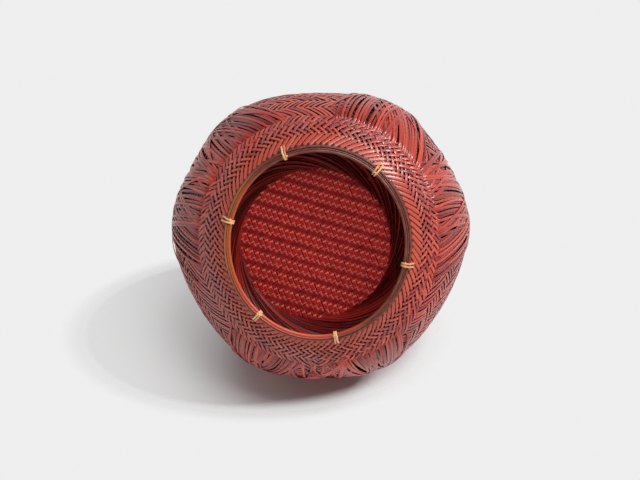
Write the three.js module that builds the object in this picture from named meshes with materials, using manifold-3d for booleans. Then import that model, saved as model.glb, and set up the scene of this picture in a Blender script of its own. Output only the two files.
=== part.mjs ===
// Globe-shaped flower basket plaited from split bamboo, standing upright on its foot hoop.
// Millimetres, +Z up, with the origin at the centre of the foot on the surface it stands on.
import * as THREE from 'three';
import Module from 'manifold-3d';
import { mergeVertices } from 'three/addons/utils/BufferGeometryUtils.js';

const wasm = await Module();
wasm.setup();

// Fit between neighbouring pieces
const CLEARANCE = 0.3;
const SHEAF_SEAT = 0.4; // gap under a sheaf, which lies on a curved wall

// Woven wall, measured to the middle of its thickness
const WALL = 2.2;
const BELLY_RADIUS = 183;
const FOOT_RADIUS = 105;
const MOUTH_RADIUS = 92;
const LOWER_RISE = 129; // top of the foot to the belly
const UPPER_RISE = 128; // belly to the foot of the neck
const PLAIT_DEPTH = 1.4; // how far the gaps between crossing strips are pressed into the outer face

// Six lobes in three pairs: a wide flattened field, a peak, a narrow field, a peak
const FIELD_COUNT = 3;
const FIRST_FIELD_ANGLE = 90; // degrees round the axis, middle of the first wide field
const PEAK_OFFSET = 36.5; // degrees from the middle of a wide field to the peak beside it
const WIDE_DENT = 7; // how far the middle of a wide field lies inside the peaks
const NARROW_DENT = 3;

// Fan sheaves: long strips gathered at the belly and spread towards foot and mouth
const SHEAF_STRIPS = 9;
const SHEAF_WAIST = 9; // half angle at the belly, degrees
const WIDE_FIELD_FOOT = 10; // half angle left open at the ends of a wide field, degrees
const NARROW_FIELD_FOOT = 1.2; // the same for a narrow field, degrees
const SHEAF_FLARE = 1.25; // how slowly the fan opens out from its waist
const SHEAF_END_THICKNESS = 0.9;
const SHEAF_WAIST_THICKNESS = 1.6;
const SHEAF_RIDGE = 1.8; // height of each strip's ridge

// Foot: an inner hoop to stand on, and a thin hoop tied on outside the wall's edge
const FOOT_HOOP_WIDTH = 4.4;
const FOOT_HOOP_HEIGHT = 8;
const FOOT_OUTER_THICKNESS = 2.8;
const FOOT_OUTER_HEIGHT = 8;
const HOOP_CHAMFER = 0.8;
const FOOT_TIE_ANGLES = [130, 69, 14, -49, -101.5, -167.5]; // degrees, uneven as tied by hand
const FOOT_TIE_LIFT = 0.6; // the ties clear the ground

// Base: a flat mat set up inside the foot, in a border that slopes down to the top of the foot hoop
const MAT_RADIUS = 89;
const MAT_THICKNESS = 2;
const MAT_HEIGHT = 24;
const BORDER_WIDTH = 1.8; // thickness of the border, measured across
const BORDER_LIP = 4; // how far the border reaches over the mat

// Mouth: two hoops either side of the neck, capped by a round core and tied through the wall
const MOUTH_HOOP_THICKNESS = 3.6;
const MOUTH_HOOP_HEIGHT = 11;
const CORE_WIDTH = 7.5;
const CORE_HEIGHT = 4;
const MOUTH_TIE_COUNT = 6;

// Rattan ties
const TIE_WIDTH = 4.5;
const TIE_THICKNESS = 1.2;
const TIE_CORNER = 0.9;

// Fineness of the facets
const ROUND = 60; // an even number, so that the plaiting closes round the wall
const RISE_STEPS = 7; // rows of facets from the foot to the belly, and again up to the mouth
const SHEAF_ROWS = 5; // of those rows, how many a sheaf covers each way from the belly
const CORE_STEPS = 5;

// Heights worked out from the sizes above
const footEdge = FOOT_TIE_LIFT + TIE_THICKNESS + CLEARANCE;
const footTop = footEdge + FOOT_OUTER_HEIGHT + CLEARANCE;
const bellyHeight = footTop + LOWER_RISE;
const neckFoot = bellyHeight + UPPER_RISE;
const mouthHoopFoot = neckFoot + TIE_THICKNESS + 2 * CLEARANCE;
const mouthEdge = mouthHoopFoot + MOUTH_HOOP_HEIGHT;

const material = (color, roughness) => new THREE.MeshStandardMaterial({ color, roughness, metalness: 0 });
const lacquer = () => material(0x8a3a2c, 0.38);
const darkLacquer = () => material(0x7a2218, 0.42);
const hoopBamboo = () => material(0x8f4a26, 0.35);
const rattan = () => material(0xc9a06a, 0.55);

const basket = new THREE.Group();

function addPiece(name, geometry, finish, group = basket) {
  const piece = new THREE.Mesh(geometry, finish);
  piece.name = name;
  group.add(piece);
  return piece;
}

// A closed section, given counter-clockwise as [radius, height] points, turned about the axis
function turned(section) {
  const points = section.map(([r, z]) => new THREE.Vector2(r, z));
  points.push(points[0].clone());
  return new THREE.LatheGeometry(points, ROUND).rotateX(Math.PI / 2);
}

function solidOf(geometry) {
  const bare = geometry.clone();
  bare.deleteAttribute('normal');
  bare.deleteAttribute('uv');
  const merged = mergeVertices(bare, 1e-4);
  return new wasm.Manifold(new wasm.Mesh({
    numProp: 3,
    vertProperties: new Float32Array(merged.attributes.position.array),
    triVerts: new Uint32Array(merged.index.array),
  }));
}

function geometryOf(solid) {
  const mesh = solid.getMesh();
  const geometry = new THREE.BufferGeometry();
  geometry.setAttribute('position', new THREE.BufferAttribute(mesh.vertProperties, 3));
  geometry.setIndex(new THREE.BufferAttribute(mesh.triVerts, 1));
  return geometry;
}

// Shape of the wall: two part ellipses that meet upright at the belly.
// The course runs from -1 at the foot, through 0 at the belly, to 1 at the neck.
function meridian(course, offset) {
  const endRadius = course < 0 ? FOOT_RADIUS : MOUTH_RADIUS;
  const rise = course < 0 ? LOWER_RISE : UPPER_RISE;
  const endTurn = Math.acos(endRadius / BELLY_RADIUS);
  const halfHeight = rise / Math.sin(endTurn);
  const turn = course * endTurn;
  const normal = new THREE.Vector2(Math.cos(turn) / BELLY_RADIUS, Math.sin(turn) / halfHeight).normalize();
  const point = new THREE.Vector2(BELLY_RADIUS * Math.cos(turn), bellyHeight + halfHeight * Math.sin(turn));
  return point.addScaledVector(normal, offset);
}

// How far the wall is drawn in at an angle round the axis and a height
function dent(angle, height) {
  const rise = height < bellyHeight ? LOWER_RISE : UPPER_RISE;
  const share = THREE.MathUtils.clamp((height - bellyHeight) / rise, -1, 1);
  const pitch = 360 / FIELD_COUNT;
  const turn = THREE.MathUtils.euclideanModulo(angle - FIRST_FIELD_ANGLE + pitch / 2, pitch) - pitch / 2;
  const away = Math.abs(turn);
  const wide = Math.cos((Math.PI / 2) * Math.min(away / PEAK_OFFSET, 1)) ** 2;
  const narrowSpan = pitch / 2 - PEAK_OFFSET;
  const narrow = Math.sin((Math.PI / 2) * Math.max((away - PEAK_OFFSET) / narrowSpan, 0)) ** 2;
  return (WIDE_DENT * wide + NARROW_DENT * narrow) * Math.cos((Math.PI / 2) * share) ** 2;
}

// A rectangular loop round a section of hoops and wall, from the inside radius to the outside one
function tieGeometry(inside, outside, low, high) {
  const outline = new THREE.Shape();
  const corner = TIE_CORNER;
  outline.moveTo(inside + corner, low);
  outline.lineTo(outside - corner, low);
  outline.lineTo(outside, low + corner);
  outline.lineTo(outside, high - corner);
  outline.lineTo(outside - corner, high);
  outline.lineTo(inside + corner, high);
  outline.lineTo(inside, high - corner);
  outline.lineTo(inside, low + corner);
  outline.closePath();
  outline.holes.push(new THREE.Path([
    new THREE.Vector2(inside + TIE_THICKNESS, low + TIE_THICKNESS),
    new THREE.Vector2(inside + TIE_THICKNESS, high - TIE_THICKNESS),
    new THREE.Vector2(outside - TIE_THICKNESS, high - TIE_THICKNESS),
    new THREE.Vector2(outside - TIE_THICKNESS, low + TIE_THICKNESS),
  ]));
  const geometry = new THREE.ExtrudeGeometry(outline, { depth: TIE_WIDTH, bevelEnabled: false });
  return geometry.translate(0, 0, -TIE_WIDTH / 2).rotateX(Math.PI / 2);
}

// The slot in the wall that a tie's cross strand passes through
function slotSolid(inside, outside, low, high, angle) {
  const size = [outside - inside, TIE_WIDTH + 2 * CLEARANCE, high - low + 2 * CLEARANCE];
  const slot = new THREE.BoxGeometry(...size);
  slot.translate((inside + outside) / 2, 0, (low + high) / 2);
  return solidOf(slot.rotateZ(THREE.MathUtils.degToRad(angle)));
}

// Radii at the foot, from the wall's edge outwards and inwards
const footTie = {
  inside: FOOT_RADIUS - WALL / 2 - CLEARANCE - TIE_THICKNESS,
  outside: FOOT_RADIUS + WALL / 2 + FOOT_OUTER_THICKNESS + 2 * CLEARANCE + TIE_THICKNESS,
  low: FOOT_TIE_LIFT,
  high: footTop + TIE_THICKNESS,
};
const footOuterInside = FOOT_RADIUS + WALL / 2 + CLEARANCE;
const footInnerOutside = footTie.inside - CLEARANCE;
const borderFoot = footInnerOutside - BORDER_WIDTH;
const borderLow = FOOT_HOOP_HEIGHT + CLEARANCE;

// Radii and heights at the mouth
const mouthInnerOutside = MOUTH_RADIUS - WALL / 2 - CLEARANCE;
const mouthOuterInside = MOUTH_RADIUS + WALL / 2 + CLEARANCE;
const coreFoot = mouthEdge + CLEARANCE;
const mouthTie = {
  inside: mouthInnerOutside - MOUTH_HOOP_THICKNESS - CLEARANCE - TIE_THICKNESS,
  outside: mouthOuterInside + MOUTH_HOOP_THICKNESS + CLEARANCE + TIE_THICKNESS,
  low: neckFoot + CLEARANCE,
  high: coreFoot + CORE_HEIGHT + CLEARANCE + TIE_THICKNESS,
};
const mouthTieAngles = Array.from({ length: MOUTH_TIE_COUNT }, (_, i) => (360 / MOUTH_TIE_COUNT) * i);

// Plaiting on the rows of a turned wall's outer face: every second corner is pressed in, and each facet
// is split so that its ridge joins the two corners left standing, as strips do that cross both ways
function plait(geometry, rows, firstRow, lastRow) {
  const position = geometry.attributes.position;
  const index = geometry.index;
  for (let i = 0; i < position.count; i += 1) {
    const row = i % rows;
    const column = Math.floor(i / rows) % ROUND; // the last column lies on the first
    if (row >= firstRow && row <= lastRow && (row + column) % 2 === 1) {
      const pressed = meridian((row - 1) / RISE_STEPS - 1, WALL / 2 - PLAIT_DEPTH);
      const turn = Math.atan2(position.getY(i), position.getX(i));
      position.setXYZ(i, pressed.x * Math.cos(turn), pressed.x * Math.sin(turn), pressed.y);
    }
  }
  const facetRows = rows - 1;
  for (let facet = 0; facet < facetRows * ROUND; facet += 1) {
    const row = facet % facetRows;
    const column = Math.floor(facet / facetRows);
    if (row >= firstRow - 1 && row <= lastRow && (row + column) % 2 === 0) {
      const corner = row + column * rows;
      const across = corner + rows;
      [corner, across, across + 1, corner, across + 1, corner + 1].forEach((vertex, i) => {
        index.setX(6 * facet + i, vertex);
      });
    }
  }
}

// The wall: a straight edge at the foot, the lobed body and a straight neck, slotted for the ties
function wallGeometry() {
  const courses = Array.from({ length: 2 * RISE_STEPS + 1 }, (_, i) => i / RISE_STEPS - 1);
  const side = (offset) => courses.slice(1, -1).map((course) => meridian(course, offset).toArray());
  const outside = [
    [FOOT_RADIUS + WALL / 2, footEdge],
    [FOOT_RADIUS + WALL / 2, footTop],
    ...side(WALL / 2),
    [MOUTH_RADIUS + WALL / 2, neckFoot],
    [MOUTH_RADIUS + WALL / 2, mouthEdge],
  ];
  const inside = [
    [FOOT_RADIUS - WALL / 2, footEdge],
    [FOOT_RADIUS - WALL / 2, footTop + WALL / 2],
    ...side(-WALL / 2),
    [MOUTH_RADIUS - WALL / 2, neckFoot - WALL / 2],
    [MOUTH_RADIUS - WALL / 2, mouthEdge],
  ];
  const geometry = turned([...outside, ...inside.reverse()]);
  plait(geometry, outside.length + inside.length + 1, 2, outside.length - 3);
  const position = geometry.attributes.position;
  for (let i = 0; i < position.count; i += 1) {
    const angle = Math.atan2(position.getY(i), position.getX(i));
    const radius = Math.hypot(position.getX(i), position.getY(i));
    const drawn = radius - dent(THREE.MathUtils.radToDeg(angle), position.getZ(i));
    position.setXY(i, drawn * Math.cos(angle), drawn * Math.sin(angle));
  }
  let wall = solidOf(geometry);
  for (const angle of FOOT_TIE_ANGLES) {
    wall = wall.subtract(slotSolid(footTie.inside, footTie.outside, footTop, footTie.high, angle));
  }
  for (const angle of mouthTieAngles) {
    const high = mouthTie.low + TIE_THICKNESS;
    wall = wall.subtract(slotSolid(mouthTie.inside, mouthTie.outside, mouthTie.low, high, angle));
  }
  return geometryOf(wall);
}
addPiece('woven_wall', wallGeometry(), lacquer());

// A fan sheaf: a slab of ridged strips laid on the wall, pinched at the belly
function sheafGeometry(peakAngle, towardWide) {
  const columns = 2 * SHEAF_STRIPS;
  const span = SHEAF_ROWS / RISE_STEPS;
  const wideReach = PEAK_OFFSET - WIDE_FIELD_FOOT;
  const narrowReach = 180 / FIELD_COUNT - PEAK_OFFSET - NARROW_FIELD_FOOT;
  const slab = new THREE.BoxGeometry(2, 2, 1, columns, 2 * SHEAF_ROWS, 1);
  const position = slab.attributes.position;
  for (let i = 0; i < position.count; i += 1) {
    const across = position.getX(i);
    const along = position.getY(i);
    const top = position.getZ(i) > 0;
    const spread = Math.abs(along) ** SHEAF_FLARE;
    const reach = across * towardWide > 0 ? wideReach : narrowReach;
    const angle = peakAngle + across * THREE.MathUtils.lerp(SHEAF_WAIST, reach, spread);
    const column = Math.round(((across + 1) / 2) * columns);
    const ridge = column % 2 === 1 ? SHEAF_RIDGE : 0;
    const depth = THREE.MathUtils.lerp(SHEAF_WAIST_THICKNESS, SHEAF_END_THICKNESS, spread) + ridge;
    const point = meridian(along * span, WALL / 2 + SHEAF_SEAT + (top ? depth : 0));
    const radius = point.x - dent(angle, point.y);
    const turn = THREE.MathUtils.degToRad(angle);
    position.setXYZ(i, radius * Math.cos(turn), radius * Math.sin(turn), point.y);
  }
  return slab;
}
for (let i = 0; i < FIELD_COUNT; i += 1) {
  const field = FIRST_FIELD_ANGLE + (360 / FIELD_COUNT) * i;
  addPiece(`fan_sheaf_${2 * i + 1}`, sheafGeometry(field - PEAK_OFFSET, 1), lacquer());
  addPiece(`fan_sheaf_${2 * i + 2}`, sheafGeometry(field + PEAK_OFFSET, -1), lacquer());
}

// Base mat and the border that carries it down to the foot
addPiece('base_mat', turned([
  [0, MAT_HEIGHT],
  [MAT_RADIUS, MAT_HEIGHT],
  [MAT_RADIUS, MAT_HEIGHT + MAT_THICKNESS],
  [0, MAT_HEIGHT + MAT_THICKNESS],
]), darkLacquer());

const borderInside = MAT_RADIUS + CLEARANCE;
const lipHeight = MAT_HEIGHT + MAT_THICKNESS + CLEARANCE;
addPiece('base_border', turned([
  [borderFoot, borderLow],
  [borderFoot + BORDER_WIDTH, borderLow],
  [borderInside + BORDER_WIDTH, MAT_HEIGHT],
  [borderInside + BORDER_WIDTH, lipHeight + BORDER_WIDTH],
  [MAT_RADIUS - BORDER_LIP, lipHeight + BORDER_WIDTH],
  [MAT_RADIUS - BORDER_LIP, lipHeight],
  [borderInside, lipHeight],
  [borderInside, MAT_HEIGHT],
]), darkLacquer());

// A flat hoop with its two outer or inner edges eased
function hoop(inside, thickness, low, height, easedOutside) {
  const outside = inside + thickness;
  const high = low + height;
  const eased = HOOP_CHAMFER;
  if (easedOutside) {
    return turned([
      [inside, low], [outside - eased, low], [outside, low + eased],
      [outside, high - eased], [outside - eased, high], [inside, high],
    ]);
  }
  return turned([
    [inside + eased, low], [outside, low], [outside, high],
    [inside + eased, high], [inside, high - eased], [inside, low + eased],
  ]);
}
addPiece('foot_hoop_inner',
  hoop(footInnerOutside - FOOT_HOOP_WIDTH, FOOT_HOOP_WIDTH, 0, FOOT_HOOP_HEIGHT, false), hoopBamboo());
addPiece('foot_hoop_outer',
  hoop(footOuterInside, FOOT_OUTER_THICKNESS, footEdge, FOOT_OUTER_HEIGHT, true), hoopBamboo());
const mouthInnerInside = mouthInnerOutside - MOUTH_HOOP_THICKNESS;
addPiece('mouth_hoop_inner',
  hoop(mouthInnerInside, MOUTH_HOOP_THICKNESS, mouthHoopFoot, MOUTH_HOOP_HEIGHT, false), hoopBamboo());
addPiece('mouth_hoop_outer',
  hoop(mouthOuterInside, MOUTH_HOOP_THICKNESS, mouthHoopFoot, MOUTH_HOOP_HEIGHT, true), hoopBamboo());

// Round-backed core that covers the wall's edge at the mouth
const coreArch = Array.from({ length: CORE_STEPS + 1 }, (_, i) => {
  const turn = (Math.PI / CORE_STEPS) * i;
  return [MOUTH_RADIUS + (CORE_WIDTH / 2) * Math.cos(turn), coreFoot + CORE_HEIGHT * Math.sin(turn)];
});
addPiece('mouth_core', turned(coreArch), hoopBamboo());

// Rattan ties, each a closed loop turned to its place round the axis
function addTies(prefix, loop, angles) {
  angles.forEach((angle, i) => {
    const geometry = tieGeometry(loop.inside, loop.outside, loop.low, loop.high);
    const tie = addPiece(`${prefix}_${i + 1}`, geometry, rattan());
    tie.rotation.z = THREE.MathUtils.degToRad(angle);
  });
}
addTies('foot_tie', footTie, FOOT_TIE_ANGLES);
addTies('mouth_tie', mouthTie, mouthTieAngles);

export default basket;
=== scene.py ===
import math

import bpy
import numpy as np
from mathutils import Matrix, Vector


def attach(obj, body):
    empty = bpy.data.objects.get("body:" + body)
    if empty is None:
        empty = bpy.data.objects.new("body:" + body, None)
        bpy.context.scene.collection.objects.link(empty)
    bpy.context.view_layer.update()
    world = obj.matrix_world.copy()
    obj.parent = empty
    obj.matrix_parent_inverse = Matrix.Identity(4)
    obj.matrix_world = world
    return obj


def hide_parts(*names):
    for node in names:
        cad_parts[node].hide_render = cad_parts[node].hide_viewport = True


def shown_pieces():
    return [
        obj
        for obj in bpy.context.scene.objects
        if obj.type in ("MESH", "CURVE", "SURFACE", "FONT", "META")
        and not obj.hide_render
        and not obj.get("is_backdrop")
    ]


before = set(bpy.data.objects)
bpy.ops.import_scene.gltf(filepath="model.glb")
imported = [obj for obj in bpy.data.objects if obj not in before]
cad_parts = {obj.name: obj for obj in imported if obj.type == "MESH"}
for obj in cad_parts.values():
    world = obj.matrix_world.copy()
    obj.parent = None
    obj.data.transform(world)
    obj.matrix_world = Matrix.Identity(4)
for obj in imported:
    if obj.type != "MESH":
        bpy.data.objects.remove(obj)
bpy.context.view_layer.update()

bpy.ops.object.select_all(action="DESELECT")
print("frame loaded:", len(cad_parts), "nodes")


# the woven wall, in metres and degrees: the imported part's profile, with dents a little deeper
wall = {
    "bellyRadius": 0.183, "footRadius": 0.105, "mouthRadius": 0.092,
    "footEdge": 0.0021, "footTop": 0.0104, "bellyHeight": 0.1394,
    "neckFoot": 0.2674, "mouthEdge": 0.2802,
    "firstField": 90.0, "fieldCount": 3, "peakOffset": 36.5,  # a peak stands to each side of a wide field
    "wideDents": (0.009, 0.007, 0.007), "narrowDent": 0.0042,
    "curvePoints": 300, "step": 0.0005, "soften": 0.008,  # how finely it is drawn, and its corners rounded
}


def lengthAlong(points):
    steps = np.linalg.norm(np.diff(points, axis=0), axis=1)
    return np.concatenate([[0.0], np.cumsum(steps)])


def unit(rows):
    return rows / np.linalg.norm(rows, axis=1, keepdims=True)


def smooth(x):
    x = np.clip(x, 0.0, 1.0)
    return x * x * (3 - 2 * x)


# each point but the ends moves towards its neighbours
def easePoints(points):
    points[1:-1] = (points[:-2] + 2 * points[1:-1] + points[2:]) / 4


def ellipsePart(endRadius, endHeight):
    endTurn = math.acos(endRadius / wall["bellyRadius"])
    half = (endHeight - wall["bellyHeight"]) / math.sin(endTurn)
    turn = np.linspace(0.0, endTurn, wall["curvePoints"])
    r = wall["bellyRadius"] * np.cos(turn)
    z = wall["bellyHeight"] + half * np.sin(turn)
    return np.stack([r, z], 1)


def wallProfile():
    foot = ellipsePart(wall["footRadius"], wall["footTop"])[::-1]
    neck = ellipsePart(wall["mouthRadius"], wall["neckFoot"])
    line = np.concatenate([
        [[wall["footRadius"], wall["footEdge"]]], foot, neck[1:],
        [[wall["mouthRadius"], wall["mouthEdge"]]],
    ])
    run = lengthAlong(line)
    even = np.arange(0.0, run[-1], wall["step"])
    reach = int(wall["soften"] / wall["step"] / 2)
    window = np.ones(2 * reach + 1) / (2 * reach + 1)
    sharp = [np.interp(even, run, column) for column in line.T]
    padded = [np.pad(column, reach, mode="reflect", reflect_type="odd") for column in sharp]
    r, z = (np.convolve(column, window, "valid") for column in padded)
    dr, dz = np.gradient(r), np.gradient(z)
    size = np.hypot(dr, dz)
    rise = even - run[1]  # nought at the top of the foot
    turn = np.concatenate([[0.0], np.cumsum(wall["step"] / r[:-1])])
    turn -= np.interp(0.0, rise, turn)
    return {"v": rise, "r": r, "z": z, "nr": dz / size, "nz": -dr / size, "turn": turn,
            "neck": run[-2] - run[1], "belly": run[len(foot)] - run[1]}


profile = wallProfile()
bellyWay, neckWay = profile["belly"], profile["neck"]  # ways up the wall from the top of the foot


def dentAt(theta, z):
    pitch = 360.0 / wall["fieldCount"]
    turned = (np.degrees(theta) - wall["firstField"] + pitch / 2) % 360.0
    away = np.abs(turned % pitch - pitch / 2)
    wideDent = np.take(wall["wideDents"], (turned // pitch).astype(int) % wall["fieldCount"])
    wide = np.cos(np.pi / 2 * np.minimum(away / wall["peakOffset"], 1.0)) ** 2
    narrowSpan = pitch / 2 - wall["peakOffset"]
    narrow = np.sin(np.pi / 2 * np.maximum((away - wall["peakOffset"]) / narrowSpan, 0.0)) ** 2
    low = wall["bellyHeight"] - wall["footTop"]
    high = wall["neckFoot"] - wall["bellyHeight"]
    share = (z - wall["bellyHeight"]) / np.where(z < wall["bellyHeight"], low, high)
    fade = np.cos(np.pi / 2 * np.clip(share, -1.0, 1.0)) ** 2
    return (wideDent * wide + wall["narrowDent"] * narrow) * fade


# a point of the wall from its angle, its way up the wall from the foot, and its lift off the wall
def onWall(theta, v, lift):
    r, z, nr, nz = (np.interp(v, profile["v"], profile[k]) for k in ("r", "z", "nr", "nz"))
    out = r - dentAt(theta, z) + lift * nr
    centre = np.stack([out * np.cos(theta), out * np.sin(theta), z + lift * nz], 1)
    normal = np.stack([nr * np.cos(theta), nr * np.sin(theta), nz], 1)
    return centre, normal


# how far a strip at 45 degrees has gone round the axis
def turnAt(v):
    return np.interp(v, profile["v"], profile["turn"])


# from the middle of one strip at 45 degrees to the middle of the next
def apartAt(v, pitch):
    return pitch * np.interp(v, profile["v"], profile["r"]) / math.sqrt(2)


# split-bamboo strips: a flat back and a crowned face, gathered into one mesh for each piece
stripForm = {
    "section": np.array([(-1, -1), (1, -1), (1, 0.35), (0.74, 1), (-0.74, 1), (-1, 0.35)], float),
    "faceMiddle": 0.58,  # on the way round the section
    "slide": 9.0,  # strips come from anywhere in this length of grain
    "phase": 6.0,  # waves along strips start anywhere in about one turn
}


def newBundle():
    bundle = {key: [] for key in ("points", "quads", "caps", "quadUv", "capUv", "tone", "under")}
    bundle["used"] = 0
    return bundle


def addStrip(bundle, centre, normal, width, thick, tone, roll=0.0, slide=0.0, under=0.0):
    section = stripForm["section"]
    count, sides = len(centre), len(section)
    run = unit(np.gradient(centre, axis=0))
    side = unit(np.cross(run, normal))
    up = np.cross(side, run)
    tilt = np.broadcast_to(roll, count)[:, None]
    side, up = side * np.cos(tilt) + up * np.sin(tilt), up * np.cos(tilt) - side * np.sin(tilt)
    across = section[None, :, :1] * np.broadcast_to(width, count)[:, None, None] / 2
    lift = section[None, :, 1:] * np.broadcast_to(thick, count)[:, None, None] / 2
    rings = centre[:, None] + side[:, None] * across + up[:, None] * lift
    k, j = np.meshgrid(np.arange(count - 1), np.arange(sides), indexing="ij")
    nextJ = (j + 1) % sides
    quads = np.stack([k * sides + j, (k + 1) * sides + j, (k + 1) * sides + nextJ, k * sides + nextJ], -1)
    length = slide + lengthAlong(centre)
    u0, u1, v0, v1 = j / sides, (j + 1) / sides, length[k], length[k + 1]
    quadUv = np.stack([np.stack([u0, v0], -1), np.stack([u0, v1], -1),
                       np.stack([u1, v1], -1), np.stack([u1, v0], -1)], -2)
    caps = np.array([np.arange(sides), (count - 1) * sides + np.arange(sides)[::-1]])
    capV = np.repeat(length[[0, -1]][:, None], sides, 1)
    capUv = np.stack([np.full((2, sides), stripForm["faceMiddle"]), capV], -1)
    bundle["points"].append(rings.reshape(-1, 3))
    bundle["quads"].append(quads.reshape(-1, 4) + bundle["used"])
    bundle["caps"].append(caps + bundle["used"])
    bundle["quadUv"].append(quadUv.reshape(-1, 2))
    bundle["capUv"].append(capUv.reshape(-1, 2))
    bundle["tone"].append(np.full(count * sides, tone))
    bundle["under"].append(np.repeat(np.broadcast_to(under, count), sides))
    bundle["used"] += count * sides


def bundleObject(name, bundle):
    points = np.concatenate(bundle["points"])
    faces = np.concatenate(bundle["quads"]).tolist() + np.concatenate(bundle["caps"]).tolist()
    mesh = bpy.data.meshes.new(name)
    mesh.from_pydata(points.tolist(), [], faces)
    uv = mesh.uv_layers.new(name="grain")
    uv.data.foreach_set("uv", np.concatenate(bundle["quadUv"] + bundle["capUv"]).ravel())
    for key in ("tone", "under"):  # colour of the strip, and how far it lies under the others, which sets its painted shade
        values = mesh.attributes.new(key, "FLOAT", "POINT").data
        values.foreach_set("value", np.concatenate(bundle[key]))
    piece = bpy.data.objects.new(name, mesh)
    bpy.context.collection.objects.link(piece)
    return piece


def begin(form, extra=0):
    return np.random.default_rng(form["seed"] + extra), newBundle(), form["uneven"]


def anySlide(dice):
    return dice.uniform(0, stripForm["slide"])


def anyPhase(dice):
    return dice.uniform(0, stripForm["phase"])


# a strip is never laid quite flat, and it turns a little on its way
def rollAlong(dice, along, uneven):
    flat = dice.normal(0, uneven["roll"])
    return flat + uneven["twist"] * np.sin(dice.uniform(*uneven["twistRate"]) * along + anyPhase(dice))


plait = {
    "steepness": 1.5,  # how quickly a twill strip goes from over to under
    "beyond": 9.0,  # past every row
    "halfUnder": 0.5, "underChange": 0.4,
}


# over and under: 1 where the strip lies on top, -1 where it lies below
def twill(step):
    return np.clip(plait["steepness"] * np.cos(np.pi * (step - 0.5) / 2), -1.0, 1.0)


# the same for rows of uneven depth, given by their edges
def rowsOver(way, edges, change):
    row = np.searchsorted(edges, way)
    low = np.where(row > 0, edges[np.maximum(row - 1, 0)], -plait["beyond"])
    high = np.where(row < len(edges), edges[np.minimum(row, len(edges) - 1)], plait["beyond"])
    inside = np.minimum(way - low, high - way)
    return np.where(row % 2 == 0, 1.0, -1.0) * np.clip(inside / change, 0.0, 1.0)


# the ends of strips sink into the weave
def sinkAt(v, form, end):
    run = form["sinkRun"]
    return smooth((v - form["high"] + run if end == "high" else form["low"] + run - v) / run)


# painted shade of a strip from how far it lies under: the more under, the darker
def underOf(over):
    return plait["halfUnder"] - plait["underChange"] * over


# finishes
def addNode(tree, kind, inputs=None, **settings):
    made = tree.nodes.new("ShaderNode" + kind)
    for key, value in settings.items():
        setattr(made, key, value)
    for key, value in (inputs or {}).items():
        if isinstance(value, bpy.types.NodeSocket):
            tree.links.new(value, made.inputs[key])
        else:
            made.inputs[key].default_value = value
    return made


def addRamp(tree, fac, places, values, ease="LINEAR"):
    ramp = addNode(tree, "ValToRGB", {"Fac": fac})
    ramp.color_ramp.interpolation = ease
    while len(ramp.color_ramp.elements) < len(places):
        ramp.color_ramp.elements.new(0.5)
    for element, place, colour in zip(ramp.color_ramp.elements, places, values):
        element.position = place
        element.color = (*colour, 1.0) if isinstance(colour, tuple) else (colour, colour, colour, 1.0)
    return ramp.outputs["Color"]


def addMix(tree, fac, a, b, blend="MIX"):
    mix = addNode(tree, "Mix", data_type="RGBA", blend_type=blend)
    for index, value in ((0, fac), (6, a), (7, b)):  # the node's sockets for colours
        if isinstance(value, bpy.types.NodeSocket):
            tree.links.new(value, mix.inputs[index])
        else:
            mix.inputs[index].default_value = (*value, 1.0) if isinstance(value, tuple) else value
    return mix.outputs[2]


def addMath(tree, operation, a, b):
    return addNode(tree, "Math", {0: a, 1: b}, operation=operation).outputs[0]


def times(tree, a, b):
    return addMath(tree, "MULTIPLY", a, b)


def larger(tree, a, b):
    return addMath(tree, "MAXIMUM", a, b)


def addVector(tree, operation, a, b=(0.0, 0.0, 0.0)):
    made = addNode(tree, "VectorMath", {0: a, 1: b}, operation=operation)
    return made.outputs["Vector" if operation in ("SUBTRACT", "MULTIPLY") else "Value"]


def addNoise(tree, vector, scale, detail):
    inputs = {"Vector": vector, "Scale": scale, "Detail": detail}
    return addNode(tree, "TexNoise", inputs).outputs["Fac"]


def addRange(tree, value, fromRange, toRange):
    return addNode(tree, "MapRange", {
        "Value": value, "From Min": fromRange[0], "From Max": fromRange[1],
        "To Min": toRange[0], "To Max": toRange[1]}).outputs["Result"]


def newFinish(name):
    finish = bpy.data.materials.new(name)
    finish.use_nodes = True
    return finish


surface = {"glossStops": (0.3, 0.7), "reliefDepth": 0.0003}


# what strips and hoops share: gloss and relief follow the grain
def joinShader(tree, colour, grain, look):
    shader = tree.nodes["Principled BSDF"]
    rough = addRamp(tree, grain, surface["glossStops"], look["roughness"])
    bump = addNode(tree, "Bump", {
        "Height": grain, "Strength": look["bump"], "Distance": surface["reliefDepth"]})
    tree.links.new(colour, shader.inputs["Base Color"])
    tree.links.new(rough, shader.inputs["Roughness"])
    tree.links.new(bump.outputs["Normal"], shader.inputs["Normal"])
    shader.inputs["Specular IOR Level"].default_value = look["specular"]
    shader.inputs["Coat Weight"].default_value = look["coat"]
    shader.inputs["Coat Roughness"].default_value = look["coatRoughness"]


# places on the ramps of a strip's finish
ramps = {
    "dustAndSheenStops": (0.42, 0.68), "uppermost": (0.45, 0.65),  # dust and painted sheen lie in clouds, on what is uppermost
    "tintHeights": (0.018, 0.026),  # where the tint of the foot fades out
    "edges": (0.36, 0.43, 0.52, 0.64, 0.73, 0.8),  # both edges of the face
    "wornAndHighlight": (0.4, 0.65), "bends": (0.12, 0.24, 0.32, 0.44),  # edge wear with painted highlight, and bends where a strip dips under the next, with painted highlight
    "depths": (0.45, 0.7, 0.92, 0.98), "darkest": 0.16,
    "round": (0.0, 0.165, 0.32, 0.345, 0.48, 0.68, 0.82, 0.845, 1.0),  # from the back over the face
}
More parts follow.
